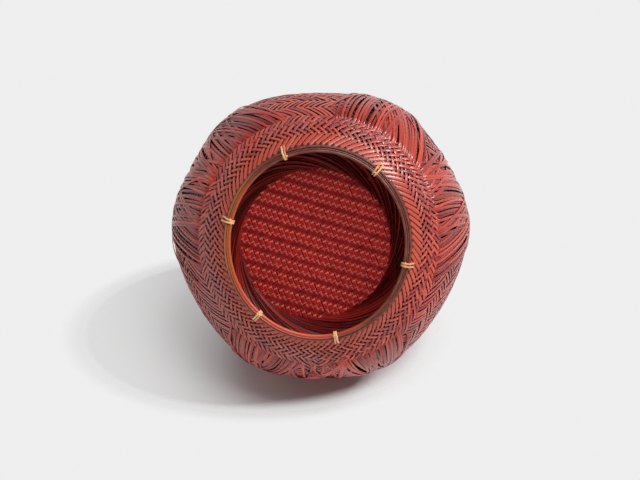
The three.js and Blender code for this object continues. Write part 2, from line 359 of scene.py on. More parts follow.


# lacquered strips: colour varies from strip to strip and along the fibres; dust carries painted sheen, edges
# are worn and carry painted highlight, bends carry painted highlight, and rims, backs and what lies under
# other strips get painted shade
def stripFinish(name, look):
    finish = newFinish(name)
    tree = finish.node_tree
    tone = addNode(tree, "Attribute", attribute_name="tone").outputs["Fac"]
    under = addNode(tree, "Attribute", attribute_name="under").outputs["Fac"]
    uv = addNode(tree, "UVMap", uv_map="grain").outputs["UV"]
    across = addNode(tree, "SeparateXYZ", {"Vector": uv}).outputs["X"]
    place = addNode(tree, "TexCoord").outputs["Object"]
    height = addNode(tree, "SeparateXYZ", {"Vector": place}).outputs["Z"]
    stretched = addNode(tree, "Mapping", {"Vector": uv, "Scale": look["grainScale"]})
    grain = addNoise(tree, stretched.outputs["Vector"], 1.0, look["grainDetail"])
    cloud = addNoise(tree, place, look["cloudScale"], look["cloudDetail"])
    mixed = addMath(tree, "ADD", times(tree, tone, look["toneShare"]),
                    times(tree, grain, 1.0 - look["toneShare"]))
    colour = addRamp(tree, mixed, look["stops"], look["colours"])
    # dust and painted sheen: a pale mauve in clouds on the uppermost strips
    dustAndSheen = addRamp(tree, cloud, ramps["dustAndSheenStops"], (0.0, look["dustAndSheenShare"]))
    dustAndSheen = times(tree, dustAndSheen, addRamp(tree, under, ramps["uppermost"], (1.0, 0.0)))
    colour = addMix(tree, dustAndSheen, colour, look["dustAndSheen"])
    tint = addRange(tree, height, ramps["tintHeights"], (look["tintShare"], 0.0))
    colour = addMix(tree, tint, colour, look["footTint"])
    # edge wear with painted highlight along both edges of the face, and painted highlight at bends
    edges = addRamp(tree, across, ramps["edges"], (0.0, 1.0, 0.0, 0.0, 1.0, 0.0))
    wearAndHighlight = times(tree, edges, addRamp(tree, grain, ramps["wornAndHighlight"], (0.0, look["wearAndHighlightShare"])))
    bend = addRamp(tree, under, ramps["bends"], (0.0, look["bendWearAndHighlight"], look["bendWearAndHighlight"], 0.0))
    wearAndHighlight = times(tree, larger(tree, wearAndHighlight, bend), addRamp(tree, tone, look["wornAndHighlightTones"], look["wornAndHighlightShares"]))
    colour = addMix(tree, wearAndHighlight, colour, look["wornAndHighlight"])
    # painted shade: the further a strip lies under others, the darker it is coloured
    depth = addRamp(tree, under, ramps["depths"], (1.0, look["paintedUnderShade"], look["paintedUnderShade"], ramps["darkest"]))
    colour = addMix(tree, 1.0, colour, depth, "MULTIPLY")
    # painted shade: backs, sides and rims are coloured darker
    back, side, rim = look["back"], look["side"], look["rim"]
    shade = addRamp(tree, across, ramps["round"], (back, back, side, rim, 1.0, 1.0, rim, side, back))
    colour = addMix(tree, 1.0, colour, shade, "MULTIPLY")
    joinShader(tree, colour, grain, look)
    return finish


lacquerLook = {
    "colours": ((0.25, 0.017, 0.016), (0.44, 0.032, 0.021), (0.58, 0.064, 0.031)),
    "stops": (0.24, 0.5, 0.76), "toneShare": 0.75, "grainScale": (16.0, 60.0, 1.0), "grainDetail": 4.0,
    "dustAndSheen": (0.34, 0.098, 0.095), "dustAndSheenShare": 0.48, "cloudScale": 11.0, "cloudDetail": 3.0,
    "footTint": (1.0, 1.0, 1.0), "tintShare": 0.0,
    "wornAndHighlight": (0.62, 0.16, 0.12), "wearAndHighlightShare": 0.1, "bendWearAndHighlight": 0.0,
    # painted shade factors for strips that lie under, and for backs, sides and rims
    "wornAndHighlightTones": (0.0, 1.0), "wornAndHighlightShares": (1.0, 1.0), "paintedUnderShade": 0.2, "back": 0.1, "side": 0.34, "rim": 0.54,
    "roughness": (0.22, 0.34), "specular": 0.38, "coat": 0.08, "coatRoughness": 0.16, "bump": 0.15,
}
bandLook = dict(
    lacquerLook, dustAndSheen=(0.41, 0.145, 0.135), dustAndSheenShare=0.66, footTint=(0.54, 0.066, 0.025), tintShare=0.65,
    paintedUnderShade=0.42, back=0.15, side=0.6, roughness=(0.27, 0.38), specular=0.5)
fieldLook = dict(bandLook, paintedUnderShade=0.2, back=0.1, side=0.3)
# the mat's pale worn edges and bends: mostly painted highlight, with some wear
matLook = dict(
    lacquerLook, colours=((0.168, 0.003, 0.003), (0.258, 0.006, 0.005), (0.36, 0.01, 0.008)),
    stops=(0.28, 0.5, 0.72), toneShare=0.5, dustAndSheenShare=0.0, wornAndHighlight=(0.68, 0.14, 0.115), wearAndHighlightShare=0.9,
    bendWearAndHighlight=0.75, wornAndHighlightTones=(0.3, 0.6), wornAndHighlightShares=(0.45, 1.0), paintedUnderShade=0.3, back=0.08, side=0.15, rim=1.0,
    roughness=(0.38, 0.5), specular=0.1, coat=0.0)
# the border is coloured darker than the mat, partly painted shade of the recess
borderLook = dict(
    matLook, colours=((0.043, 0.001, 0.001), (0.1, 0.003, 0.003), (0.2, 0.008, 0.005)),
    wornAndHighlight=(0.56, 0.09, 0.055), wearAndHighlightShare=0.8, bendWearAndHighlight=0.0, wornAndHighlightTones=(0.2, 0.8), wornAndHighlightShares=(0.1, 1.0),
    roughness=(0.3, 0.44), specular=0.15)
# the inner strips are nearly black: painted shade
innerLook = dict(
    lacquerLook, colours=((0.045, 0.002, 0.002), (0.07, 0.003, 0.003), (0.1, 0.005, 0.004)),
    stops=(0.28, 0.5, 0.72), dustAndSheenShare=0.0, wornAndHighlight=(0.1, 0.02, 0.02), wearAndHighlightShare=0.2, back=2.0, side=1.0,
    rim=1.0, roughness=(0.6, 0.8), specular=0.08, coat=0.0)
rattanLook = dict(
    lacquerLook, colours=((0.66, 0.24, 0.08), (0.86, 0.41, 0.17), (0.95, 0.6, 0.34)),
    stops=(0.25, 0.5, 0.75), dustAndSheen=(0.62, 0.24, 0.11), dustAndSheenShare=0.4, wornAndHighlight=(0.95, 0.72, 0.5), wearAndHighlightShare=0.5,
    back=0.7, side=0.8, rim=1.0, roughness=(0.34, 0.5), coat=0.0)

lacquer = stripFinish("lacqueredBamboo", lacquerLook)
bandLacquer = stripFinish("bandBamboo", bandLook)
fieldLacquer = stripFinish("fieldBamboo", fieldLook)
matLacquer = stripFinish("baseBamboo", matLook)
borderLacquer = stripFinish("borderBamboo", borderLook)
innerLacquer = stripFinish("innerBamboo", innerLook)
rattan = stripFinish("tieRattan", rattanLook)


# hoops of split bamboo: lacquer over long fibres, with painted light: orange and amber on the sides where
# the lamps catch the hoops
def hoopFinish(name, look):
    finish = newFinish(name)
    tree = finish.node_tree
    place = addNode(tree, "TexCoord").outputs["Object"]
    parts = addNode(tree, "SeparateXYZ", {"Vector": place}).outputs
    flat = addNode(tree, "CombineXYZ", {"X": parts["X"], "Y": parts["Y"]}).outputs["Vector"]
    radius = addVector(tree, "LENGTH", flat)
    angle = addMath(tree, "ARCTAN2", parts["Y"], parts["X"])
    fibre = addNode(tree, "CombineXYZ", {
        "X": times(tree, radius, look["fibre"]),
        "Y": times(tree, angle, look["fibreRun"]),
        "Z": times(tree, parts["Z"], look["fibre"])}).outputs["Vector"]
    grain = addNoise(tree, fibre, 1.0, look["grainDetail"])
    cloud = addNoise(tree, place, look["cloudScale"], look["cloudDetail"])
    uneven = times(tree, cloud, look["cloudShare"])
    colour = addRamp(tree, grain, look["stops"], look["colours"])
    # painted light: lighter orange and amber towards the given ways round the ring
    for (wayX, wayY), paintedLitSides, reach in look["paintedLitSides"]:
        facing = addMath(tree, "ADD", times(tree, parts["X"], wayX), times(tree, parts["Y"], wayY))
        facing = addMath(tree, "ADD", addMath(tree, "DIVIDE", facing, radius), uneven)
        facing = times(tree, facing, 0.5)
        share = addRamp(tree, facing, reach, (0.0, look["paintedLightShare"]))
        colour = addMix(tree, share, colour, paintedLitSides)
    joinShader(tree, colour, grain, look)
    return finish


hoopLook = {
    "colours": ((0.085, 0.02, 0.013), (0.17, 0.042, 0.026), (0.28, 0.075, 0.042)),
    # way round the ring of the painted light, its colour, and how far it reaches
    "paintedLitSides": [((0.64, -0.77), (0.6, 0.09, 0.042), (0.3, 0.5)),
               ((0.985, 0.17), (0.46, 0.098, 0.03), (0.5, 0.7))],
    "stops": (0.3, 0.5, 0.72), "paintedLightShare": 0.9, "cloudScale": 14.0, "cloudDetail": 4.0, "cloudShare": 0.7,
    "fibre": 1400.0, "fibreRun": 9.0, "grainDetail": 5.0,
    "roughness": (0.26, 0.44), "specular": 0.5, "coat": 0.05, "coatRoughness": 0.15, "bump": 0.3,
}
thinHoopLook = dict(
    hoopLook, colours=((0.08, 0.02, 0.014), (0.16, 0.042, 0.028), (0.27, 0.075, 0.048)),
    paintedLitSides=[((0.64, -0.77), (0.34, 0.11, 0.07), (0.4, 0.6)),
            ((0.95, 0.3), (0.48, 0.18, 0.05), (0.55, 0.72))])
# a nearly black lining: painted shade behind the mat and the border
shadeLiningLook = dict(
    hoopLook, paintedLitSides=[], coat=0.0, roughness=(0.5, 0.7),
    colours=((0.03, 0.003, 0.003), (0.05, 0.005, 0.004), (0.075, 0.008, 0.006)))

hoopBamboo = hoopFinish("hoopBamboo", hoopLook)
thinHoopBamboo = hoopFinish("thinHoopBamboo", thinHoopLook)
shadeLining = hoopFinish("paintedShadeLining", shadeLiningLook)
print("finishes made")


def settle(piece, finish, slotName, *nodes, smoothAngle=50.0):
    piece.data.materials.clear()
    piece.data.materials.append(finish)
    bpy.ops.object.select_all(action="DESELECT")
    piece.select_set(True)
    bpy.context.view_layer.objects.active = piece
    bpy.ops.object.shade_smooth_by_angle(angle=math.radians(smoothAngle))
    piece.select_set(False)
    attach(piece, "root")
    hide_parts(*nodes)
    print(piece.name, "made:", len(piece.data.polygons), "faces")


# plain band above the foot: 2/2 twill at 45 degrees, and next to the hoop a row that leans one way
footBand = {
    "strips": 96, "start": 0.0, "low": -0.0075, "high": 0.047, "phase": 0.0, "steps": 56, "seed": 3,
    "cover": 0.55, "thick": 0.0005, "lift": 0.0004,
    "sunkEnd": "high", "sink": 0.0022, "sinkRun": 0.009,
    "edgeRow": 0.0155, "edgeDeeper": 0.0045, "edgeSide": 135.0,  # deeper on one side
    "edgeWide": 0.47, "edgeChange": 0.002, "gapShadeLine": 0.0052, "gapShadeChange": 0.0006,
    "uneven": {"place": 0.03, "lift": 0.00006, "width": 0.05, "roll": 0.05},
}
# twill alone round the neck
mouthBand = dict(
    footBand, strips=92, start=neckWay, low=neckWay - 0.04, high=neckWay + 0.0118,
    phase=1.0, steps=50, seed=5, cover=0.585, thick=0.0006, lift=0.0005, sunkEnd="low",
    edgeRow=None, gapShadeLine=None)


def makeBand(name, band):
    dice, bundle, uneven = begin(band)
    pitch = 2 * math.pi / band["strips"]
    v = np.linspace(band["low"], band["high"], band["steps"])
    climb = turnAt(v) - turnAt(band["start"])
    weave = twill(climb / (pitch / 2) + band["phase"])
    sink = sinkAt(v, band, band["sunkEnd"])
    gapShade = np.zeros_like(v)
    if band["gapShadeLine"]:  # painted shade: a dark line beside the hoop
        gapShade = smooth((band["gapShadeLine"] + band["gapShadeChange"] - v) / band["gapShadeChange"])
    for way in (1, -1):
        for i in range(band["strips"]):
            theta = i * pitch + way * climb + dice.normal(0, uneven["place"]) * pitch
            edge = np.zeros_like(v)
            if band["edgeRow"]:  # here the strips of one way lie on top, side by side
                row = band["edgeRow"] + band["edgeDeeper"] * np.cos(theta - math.radians(band["edgeSide"]))
                edge = smooth((row - v) / band["edgeChange"])
            over = weave * (1 - edge) + edge
            lift = way * over * band["lift"] - sink * band["sink"] + dice.normal(0, uneven["lift"])
            centre, normal = onWall(theta, v, lift)
            width = band["cover"] * apartAt(v, pitch) * (1 + dice.normal(0, uneven["width"]))
            width = width * (1 + band["edgeWide"] * edge)
            under = np.maximum(underOf(way * over), gapShade)
            addStrip(bundle, centre, normal, width, band["thick"], dice.uniform(),
                     dice.normal(0, uneven["roll"]), anySlide(dice), under)
    settle(bundleObject(name, bundle), bandLacquer, "lacquered_bamboo", "woven_wall")


makeBand("foot_band", footBand)
makeBand("mouth_band", mouthBand)

# fan sheaves: strips from both sides of a fan cross at the belly
sheaf = {
    # degrees that each sheaf covers at the belly and at its ends
    "belly": [(36, 56), (105, 129), (161, 180), (240, 254), (289, 304), (1, 23)],
    "ends": [(30, 75), (98, 147), (150, 201), (226, 267), (278, 317), (-14, 30)],
    "span": 5 / 7, "over": 1.08, "flare": 1.15, "spacing": 1.25, "overlap": 0.56, "steps": 58, "seed": 21,
    "width": 0.003, "thick": 0.0007, "seat": 0.0012, "endPile": 0.0014, "bellyPile": 0.0022, "bulge": 0.0008,
    "tuck": 0.003, "tuckFrom": 0.93, "topUnder": 0.44, "pileUnder": 0.12,  # painted shade: the lower a strip lies in the pile, the darker it is coloured; the top is lightest
    "margin": 5.0, "endFade": 0.12, "groundDrop": 0.0024,  # how the ground weave gives way under a sheaf
    "uneven": {"share": 0.1, "end": 0.01, "sway": 0.4, "width": 0.07,
               "roll": 0.06, "twist": 0.06, "twistRate": (1, 3)},
}
# two strips lead right across each sheaf, one from each side
sash = {
    "count": 2, "lean": 25.0, "reach": 0.94, "tuckFrom": 0.74, "pile": (0.3, 1.25),
    "twist": 0.15, "twistRate": 2,
    "uneven": {"lean": 0.15, "sway": 1.0, "width": 0.1, "roll": 0.12},
}


# way up the wall at a share of a sheaf's run, from -1 at its lower end to 1 at its upper end
def wallRun(along, span):
    course = along * span
    above = neckWay - bellyWay
    return bellyWay + course * np.where(course < 0, bellyWay, above)


# how far a point of the wall lies under a sheaf, from 0 to 1
def underSheaf(theta, v):
    rise = v - bellyWay
    above = neckWay - bellyWay
    away = np.abs(np.where(rise < 0, rise / bellyWay, rise / above)) / sheaf["span"]
    spread = np.minimum(away, 1.0) ** sheaf["flare"]
    cover = np.zeros_like(v)
    for (bellyFrom, bellyTo), (endFrom, endTo) in zip(sheaf["belly"], sheaf["ends"]):
        middle = (bellyFrom + bellyTo) / 2 * (1 - spread) + (endFrom + endTo) / 2 * spread
        half = (bellyTo - bellyFrom) / 2 * (1 - spread) + (endTo - endFrom) / 2 * spread
        off = np.abs((np.degrees(theta) - middle + 180) % 360 - 180)
        cover = np.maximum(cover, smooth((half - off) / sheaf["margin"]))
    return cover * smooth((1.0 - away) / sheaf["endFade"])


# inner layer of the wall: broad, nearly black strips, painted shade that shows through the gaps of the outer
# weave
inner = {
    "strips": 60, "low": 0.006, "high": neckWay - 0.004, "steps": 60, "seed": 7,
    "cover": 1.02, "thick": 0.0008, "depth": 0.0042, "lift": 0.0005,
}


def makeInnerWall():
    dice = np.random.default_rng(inner["seed"])
    bundle = newBundle()
    pitch = 2 * math.pi / inner["strips"]
    v = np.linspace(inner["low"], inner["high"], inner["steps"])
    climb = turnAt(v) - turnAt(bellyWay)
    over = twill(climb / (pitch / 2))
    width = inner["cover"] * apartAt(v, pitch)
    for way in (1, -1):
        for i in range(inner["strips"]):
            theta = i * pitch + way * climb
            drop = underSheaf(theta, v) * sheaf["groundDrop"]
            centre, normal = onWall(theta, v, way * over * inner["lift"] - inner["depth"] - drop)
            addStrip(bundle, centre, normal, width, inner["thick"], dice.uniform(), 0.0, anySlide(dice))
    settle(bundleObject("inner_wall_strips", bundle), innerLacquer, "lacquered_bamboo", "woven_wall")


makeInnerWall()

# ground weave, seen in the wide fields between the sheaves: long floats in rows of uneven depth
ground = {
    "strips": 132, "low": 0.034, "high": neckWay - 0.03, "steps": 110, "seed": 11,
    "width": 0.0035, "thick": 0.0007, "lift": 0.0008, "change": 0.0022, "sink": 0.0026, "sinkRun": 0.011,
    # each wide field's first row above the band, depth of the others, rise to each side, and way that leads
    "rows": [(0.019, 0.019, 0.15, 1), (0.018, 0.018, 0.25, 1), (0.031, 0.017, 0.1, -1)], "rowCount": 9,
    "uneven": {"place": 0.08, "lift": 0.0001, "width": 0.08, "roll": 0.06},
}


# over and under along one strip, from the rows of the fields that it passes
def fieldOver(theta, v):
    third = 2 * math.pi / wall["fieldCount"]
    turned = (theta - math.radians(wall["firstField"]) + third / 2) % (2 * math.pi)
    fieldOf = (turned // third).astype(int) % wall["fieldCount"]
    away = np.abs(turned % third - third / 2)
    fold = bellyWay - np.abs(v - bellyWay)  # the rows are alike above and below the belly
    over = np.zeros_like(v)
    for field, (first, depth, rise, lead) in enumerate(ground["rows"]):
        edges = footBand["high"] + first + depth * np.arange(-1, ground["rowCount"])
        edges[0] = footBand["high"]
        mine = fieldOf == field
        tilted = fold - rise * away * profile["r"].max()
        over[mine] = lead * rowsOver(tilted, edges, ground["change"])[mine]
    return over


def makeField(name, way):
    dice, bundle, uneven = begin(ground, way)
    pitch = 2 * math.pi / ground["strips"]
    v = np.linspace(ground["low"], ground["high"], ground["steps"])
    climb = turnAt(v) - turnAt(bellyWay)
    sink = sinkAt(v, ground, "high") + sinkAt(v, ground, "low")
    for i in range(ground["strips"]):
        theta = i * pitch + way * climb + dice.normal(0, uneven["place"]) * pitch
        over = fieldOver(theta, v)
        covered = underSheaf(theta, v)
        lift = way * over * ground["lift"]
        easePoints(lift)
        lift = lift - sink * ground["sink"] - covered * sheaf["groundDrop"]
        lift = lift + dice.normal(0, uneven["lift"])
        centre, normal = onWall(theta, v, lift)
        width = ground["width"] * (1 + dice.normal(0, uneven["width"]))
        # painted shade: strips under a sheaf are coloured dark
        under = np.maximum(underOf(way * over), covered)
        addStrip(bundle, centre, normal, width, ground["thick"], dice.uniform(),
                 dice.normal(0, uneven["roll"]), anySlide(dice), under)
    settle(bundleObject(name, bundle), fieldLacquer, "lacquered_bamboo", "woven_wall")


makeField("field_strips_right", 1)
makeField("field_strips_left", -1)


# the run of a strip from end to end, and how far its ends are tucked in
def alongWall(form):
    along = np.linspace(-form["over"], form["over"], form["steps"])
    away = np.abs(along)
    tuck = smooth((away - form["tuckFrom"]) / (form["over"] - form["tuckFrom"]))
    return along, away, wallRun(along, form["span"]), tuck


def addFan(bundle, dice, bellyArc, endArc):
    (bellyFrom, bellyTo), (endFrom, endTo) = bellyArc, endArc
    uneven = sheaf["uneven"]
    along, away, v, tuck = alongWall(sheaf)
    spread = np.minimum(away ** sheaf["flare"], 1)
    each = round((endTo - endFrom) * sheaf["overlap"] / sheaf["spacing"])
    pile = dice.permutation(2 * each) / (2 * each - 1)
    for n in range(2 * each):
        share = ((n % each) + 0.5 + dice.normal(0, uneven["share"])) / each
        shares = np.array([share * sheaf["overlap"], share, 1 - (1 - share) * sheaf["overlap"]])
        if n < each:
            shares = 1 - shares
        low, high = endFrom + (endTo - endFrom) * (shares[[0, 2]] + dice.normal(0, uneven["end"], 2))
        bellyAngle = bellyFrom + (bellyTo - bellyFrom) * shares[1]
        # one smooth line through the three places
        angle = bellyAngle + (high - low) / 2 * along + ((high + low) / 2 - bellyAngle) * along ** 2
        angle = angle + dice.normal(0, uneven["sway"]) * np.sin(np.pi * along)
        heap = (sheaf["bellyPile"] + (sheaf["endPile"] - sheaf["bellyPile"]) * spread) * pile[n]
        bulge = sheaf["bulge"] * dice.uniform() * np.sin(np.pi * np.minimum(away, 1)) ** 2
        lift = sheaf["seat"] + heap + bulge - tuck * (sheaf["seat"] + heap + sheaf["tuck"])
        centre, normal = onWall(np.radians(angle), v, lift)
        width = sheaf["width"] * (1 + dice.normal(0, uneven["width"]))
        roll = rollAlong(dice, along, uneven)
        under = sheaf["topUnder"] + sheaf["pileUnder"] * (1 - pile[n])
        addStrip(bundle, centre, normal, width, sheaf["thick"], dice.uniform(), roll, anySlide(dice), under)


def addSashes(bundle, dice, bellyArc, endArc):
    uneven = sash["uneven"]
    along = np.linspace(-sheaf["over"], sheaf["over"], sheaf["steps"]) * sash["reach"] / sheaf["over"]
    away = np.abs(along)
    v = wallRun(along, sheaf["span"])
    tuck = smooth((away - sash["tuckFrom"]) / (sash["reach"] - sash["tuckFrom"]))
    bellyMiddle, endMiddle = sum(bellyArc) / 2, sum(endArc) / 2
    middle = bellyMiddle + (endMiddle - bellyMiddle) * away
    for n in range(sash["count"]):
        way = 1 if n % 2 else -1
        aside = dice.uniform(-1, 1) * (bellyArc[1] - bellyArc[0]) / 2
        lean = sash["lean"] * (1 + dice.normal(0, uneven["lean"]))
        angle = middle + aside + way * lean * along + dice.normal(0, uneven["sway"]) * np.sin(np.pi * away)
        rest = sheaf["seat"] + sheaf["bellyPile"] * dice.uniform(*sash["pile"])
        lift = rest - tuck * (rest + sheaf["tuck"])
        centre, normal = onWall(np.radians(angle), v, lift)
        width = sheaf["width"] * (1 + dice.normal(0, uneven["width"]))
        roll = dice.normal(0, uneven["roll"])
        roll = roll + sash["twist"] * np.sin(sash["twistRate"] * along + anyPhase(dice))
        addStrip(bundle, centre, normal, width, sheaf["thick"], dice.uniform(), roll, anySlide(dice))


def makeSheaf(index, bellyArc, endArc):
    dice = np.random.default_rng(sheaf["seed"] + index)
    bundle = newBundle()
    addFan(bundle, dice, bellyArc, endArc)
    addSashes(bundle, dice, bellyArc, endArc)
    piece = bundleObject(f"fan_strips_{index}", bundle)
    settle(piece, lacquer, "lacquered_bamboo", f"fan_sheaf_{index}")


for index, (bellyArc, endArc) in enumerate(zip(sheaf["belly"], sheaf["ends"]), 1):
    makeSheaf(index, bellyArc, endArc)

# loose crossing strips in the narrow fields between the sheaves of a pair
loose = {
    "middles": (30, 151, 270), "half": (8, 9, 14), "endSpread": 1.2, "span": 5 / 7, "over": 1.06,
    "strips": 18, "steps": 50, "seed": 27,
    "width": 0.0034, "thick": 0.0009, "lift": (0.001, 0.0028), "tuck": 0.003, "tuckFrom": 0.92,
    "wave": 0.0008, "waveRate": (4, 9),
    "uneven": {"bend": 1.5, "width": 0.12, "roll": 0.15, "twist": 0.2, "twistRate": (1, 3)},
}


def makeNarrowFields():
    dice, bundle, uneven = begin(loose)
    along, away, v, tuck = alongWall(loose)
    spreads = np.array([loose["endSpread"], 1.0, loose["endSpread"]])
    for middle, half in zip(loose["middles"], loose["half"]):
        for _ in range(loose["strips"]):
            low, belly, high = dice.uniform(-1, 1, 3) * half * spreads
            bend = dice.normal(0, uneven["bend"])
            course = np.where(along < 0, belly + (low - belly) * away, belly + (high - belly) * away)
            angle = middle + course + bend * np.sin(np.pi * np.minimum(away, 1))
            lift = dice.uniform(*loose["lift"])
            waveRate = dice.uniform(*loose["waveRate"])
            lift = lift + loose["wave"] * np.sin(waveRate * along + anyPhase(dice))
            lift = lift - tuck * (lift + loose["tuck"])
            centre, normal = onWall(np.radians(angle), v, lift)
            width = loose["width"] * (1 + dice.normal(0, uneven["width"]))
            roll = rollAlong(dice, along, uneven)
            addStrip(bundle, centre, normal, width, loose["thick"], dice.uniform(), roll, anySlide(dice))
    settle(bundleObject("narrow_field_strips", bundle), lacquer, "lacquered_bamboo", "woven_wall")


makeNarrowFields()

# herringbone mat set up inside the foot, a little off the axis
mat = {
    "radius": 0.0884, "height": 0.025, "shift": (0.0028, -0.0018), "rowAngle": 16.0, "slant": 53.0,
    "pitch": 0.0051, "width": 0.0043, "thick": 0.0008, "lift": 0.001, "spacing": 0.0012, "seed": 31,
    "litAndShadedTones": {1: (0.55, 1.0), -1: (0.05, 0.45)},  # painted light and shade: the strips of one way are coloured lighter, the others darker
    "shortest": 2, "fewestPoints": 4,  # a strip is at least this many pitches long to each side
    "uneven": {"place": 0.04, "width": 0.03, "roll": 0.03},
}
downward = np.array([0.0, 0.0, -1.0])


def makeMat():
    dice, bundle, uneven = begin(mat)
    rows, slant = math.radians(mat["rowAngle"]), math.radians(mat["slant"])
    rowUp = np.array([-math.sin(rows), math.cos(rows)])
    perStep = mat["pitch"] / (2 * math.cos(slant))
    half = int(mat["radius"] / mat["pitch"])
    for way in (1, -1):
        lean = rows + way * slant
        run = np.array([math.cos(lean), math.sin(lean)])
        across = np.array([-run[1], run[0]])
        for i in range(-half, half + 1):
            offset = (i + dice.normal(0, uneven["place"])) * mat["pitch"]
            reach = math.sqrt(max(mat["radius"] ** 2 - offset ** 2, 0.0))
            if reach < mat["shortest"] * mat["pitch"]:
                continue
            count = max(mat["fewestPoints"], int(2 * reach / mat["spacing"]))
            flat = offset * across + np.linspace(-reach, reach, count)[:, None] * run
            over = way * twill(flat @ rowUp / perStep)
            z = mat["height"] - over * mat["lift"]
            centre = np.column_stack([flat + np.array(mat["shift"]), z])
            width = mat["width"] * (1 + dice.normal(0, uneven["width"]))
            tone = dice.uniform(*mat["litAndShadedTones"][way])
            addStrip(bundle, centre, np.tile(downward, (count, 1)), width, mat["thick"], tone,
                     dice.normal(0, uneven["roll"]), anySlide(dice), underOf(over))
    settle(bundleObject("base_mat_weave", bundle), matLacquer, "base_bamboo", "base_mat")


makeMat()

# a nearly black layer behind the mat: painted shade seen through its gaps
matShadeLining = {"radius": 0.0886, "height": 0.0272, "thick": 0.0006, "corners": 96}
bpy.ops.mesh.primitive_cylinder_add(
    vertices=matShadeLining["corners"], radius=matShadeLining["radius"], depth=matShadeLining["thick"],
    location=(*mat["shift"], matShadeLining["height"]))
bpy.ops.object.transform_apply(location=True)
bpy.context.object.name = "base_mat_shade_lining"
settle(bpy.context.object, shadeLining, "base_bamboo", "base_mat")

# strips run from the mat's edge round and down to the foot, over others that run the other way
border = {
    "top": (0.0856, 0.0228), "foot": (0.1012, 0.0072), "thick": 0.0007, "steps": 28, "seed": 41,
    "front": {"strips": 50, "sweep": -46.0, "width": 0.0031, "lag": 1.35, "behind": 0.0, "lean": 0.34},
    "back": {"strips": 84, "sweep": 20.0, "width": 0.003, "lag": 1.0, "behind": 0.0022, "lean": None},
    "uneven": {"place": 0.12, "sweep": 0.05, "lean": 0.1, "width": 0.06},
}


def makeBorder():
    dice, bundle, uneven = begin(border)
    t = np.linspace(0.0, 1.0, border["steps"])
    (topR, topZ), (footR, footZ) = border["top"], border["foot"]
    slope = np.array([footZ - topZ, topR - footR])
    slope /= np.linalg.norm(slope)  # points to the axis and down, out of the recess
    for layer in (border["front"], border["back"]):
        ease = t ** layer["lag"]
        r = topR + (footR - topR) * ease - slope[0] * layer["behind"]
        z = topZ + (footZ - topZ) * ease - slope[1] * layer["behind"]
        shiftX, shiftY = (step * (1 - ease) for step in mat["shift"])
        for i in range(layer["strips"]):
            start = (i + dice.normal(0, uneven["place"])) * 2 * math.pi / layer["strips"]
            theta = start + math.radians(layer["sweep"]) * t * (1 + dice.normal(0, uneven["sweep"]))
            x, y = np.cos(theta), np.sin(theta)
            centre = np.column_stack([r * x + shiftX, r * y + shiftY, z])
            normal = np.column_stack([slope[0] * x, slope[0] * y, np.full_like(theta, slope[1])])
            roll = layer["lean"] + dice.normal(0, uneven["lean"]) if layer["lean"] else 0.0
            width = layer["width"] * (1 + dice.normal(0, uneven["width"]))
            addStrip(bundle, centre, normal, width, border["thick"], dice.uniform(), roll, anySlide(dice))
    settle(bundleObject("base_border_strips", bundle), borderLacquer, "base_bamboo", "base_border")


makeBorder()

# hoops: radius and height of each corner of the section, and how far the corners are eased
hoopForm = {"segments": 3, "steps": 192, "weld": 1e-6, "smoothAngle": 40.0}
hoops = {
    # a nearly black cone behind the border: painted shade
    "base_border_shade_lining": {
        "corners": [(0.0846, 0.0282), (0.0852, 0.0284), (0.1026, 0.0088), (0.1022, 0.0082)],
        "ease": 0.0001, "finish": shadeLining, "slot": "base_bamboo", "node": "base_border"},
    "foot_hoop_inner_bent": {  # rounded below, with a groove
        "corners": [(0.1001, 0.0018), (0.1005, 0.0006), (0.1013, 0.0), (0.1024, 0.0), (0.1032, 0.0005),
                    (0.1035, 0.0012), (0.1038, 0.0005), (0.1043, 0.0), (0.105, 0.0003), (0.1052, 0.002),
                    (0.103, 0.0026), (0.1028, 0.008), (0.1012, 0.008)],
        "ease": 0.00025, "finish": hoopBamboo, "slot": "hoop_bamboo", "node": "foot_hoop_inner"},
    "foot_hoop_outer_bent": {
        "corners": [(0.1056, 0.002), (0.1078, 0.002), (0.1083, 0.005), (0.1081, 0.0098),
                    (0.1062, 0.0098), (0.1062, 0.003)],
        "ease": 0.0004, "finish": thinHoopBamboo, "slot": "hoop_bamboo", "node": "foot_hoop_outer"},
    "mouth_hoop_inner_bent": {
        "corners": [(0.087, 0.2692), (0.0906, 0.2692), (0.0906, 0.2802), (0.087, 0.2802)],
        "ease": 0.0008, "finish": hoopBamboo, "slot": "hoop_bamboo", "node": "mouth_hoop_inner"},
    "mouth_hoop_outer_bent": {
        "corners": [(0.0934, 0.2692), (0.097, 0.2692), (0.097, 0.2802), (0.0934, 0.2802)],
        "ease": 0.0008, "finish": hoopBamboo, "slot": "hoop_bamboo", "node": "mouth_hoop_outer"},
    "mouth_core_bent": {
        "corners": [(0.0885, 0.2805), (0.0955, 0.2805), (0.0957, 0.2825), (0.0935, 0.2845),
                    (0.0905, 0.2845), (0.0883, 0.2825)],
        "ease": 0.0008, "finish": thinHoopBamboo, "slot": "hoop_bamboo", "node": "mouth_core"},
}


